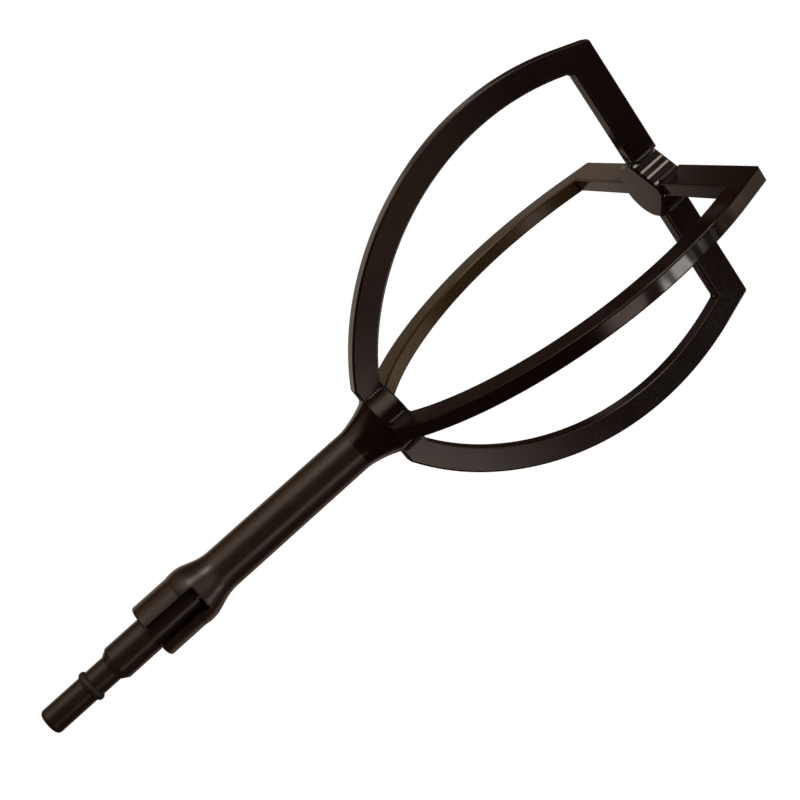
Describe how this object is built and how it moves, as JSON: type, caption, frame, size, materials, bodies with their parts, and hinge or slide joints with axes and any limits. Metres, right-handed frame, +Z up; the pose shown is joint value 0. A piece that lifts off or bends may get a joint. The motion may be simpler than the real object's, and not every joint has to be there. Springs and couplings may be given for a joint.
{
  "type": "mortar mixing paddle",
  "caption": "Plug-in mixing paddle: stepped drive spindle with a two-jaw dog sleeve, round shaft and a welded cage of flat-bar bows closed by a flat cross.",
  "frame": {"origin": "centre of the flat end of the cage, on the floor it stands on", "axes": "+Z up the shaft axis towards the spindle tip; +X along one bow and arm, +Y along the next"},
  "size_m": [0.1418, 0.1418, 0.3029],
  "materials": {
    "cage_coating": "smooth dark brown-black coating, semi-gloss",
    "shaft_coating": "smooth dark brown-black coating, semi-gloss",
    "coupling_steel": "dark coating over turned steel, semi-gloss",
    "weld_bead": "coated weld bead, satin",
    "ring_rubber": "matte black rubber"
  },
  "bodies": {
    "root": {"drive_spindle": "coupling_steel", "retaining_ring": "ring_rubber", "dog_sleeve": "coupling_steel", "shaft": "shaft_coating", "hub": "cage_coating", "end_boss": "cage_coating", "bow_1": "cage_coating", "arm_1": "cage_coating", "bow_2": "cage_coating", "arm_2": "cage_coating", "bow_3": "cage_coating", "arm_3": "cage_coating", "bow_4": "cage_coating", "arm_4": "cage_coating", "foot_weld_1": "weld_bead", "arm_weld_1": "weld_bead", "corner_weld_1": "weld_bead", "foot_weld_2": "weld_bead", "arm_weld_2": "weld_bead", "corner_weld_2": "weld_bead", "foot_weld_3": "weld_bead", "arm_weld_3": "weld_bead", "corner_weld_3": "weld_bead", "foot_weld_4": "weld_bead", "arm_weld_4": "weld_bead", "corner_weld_4": "weld_bead"}
  },
  "joints": []
}
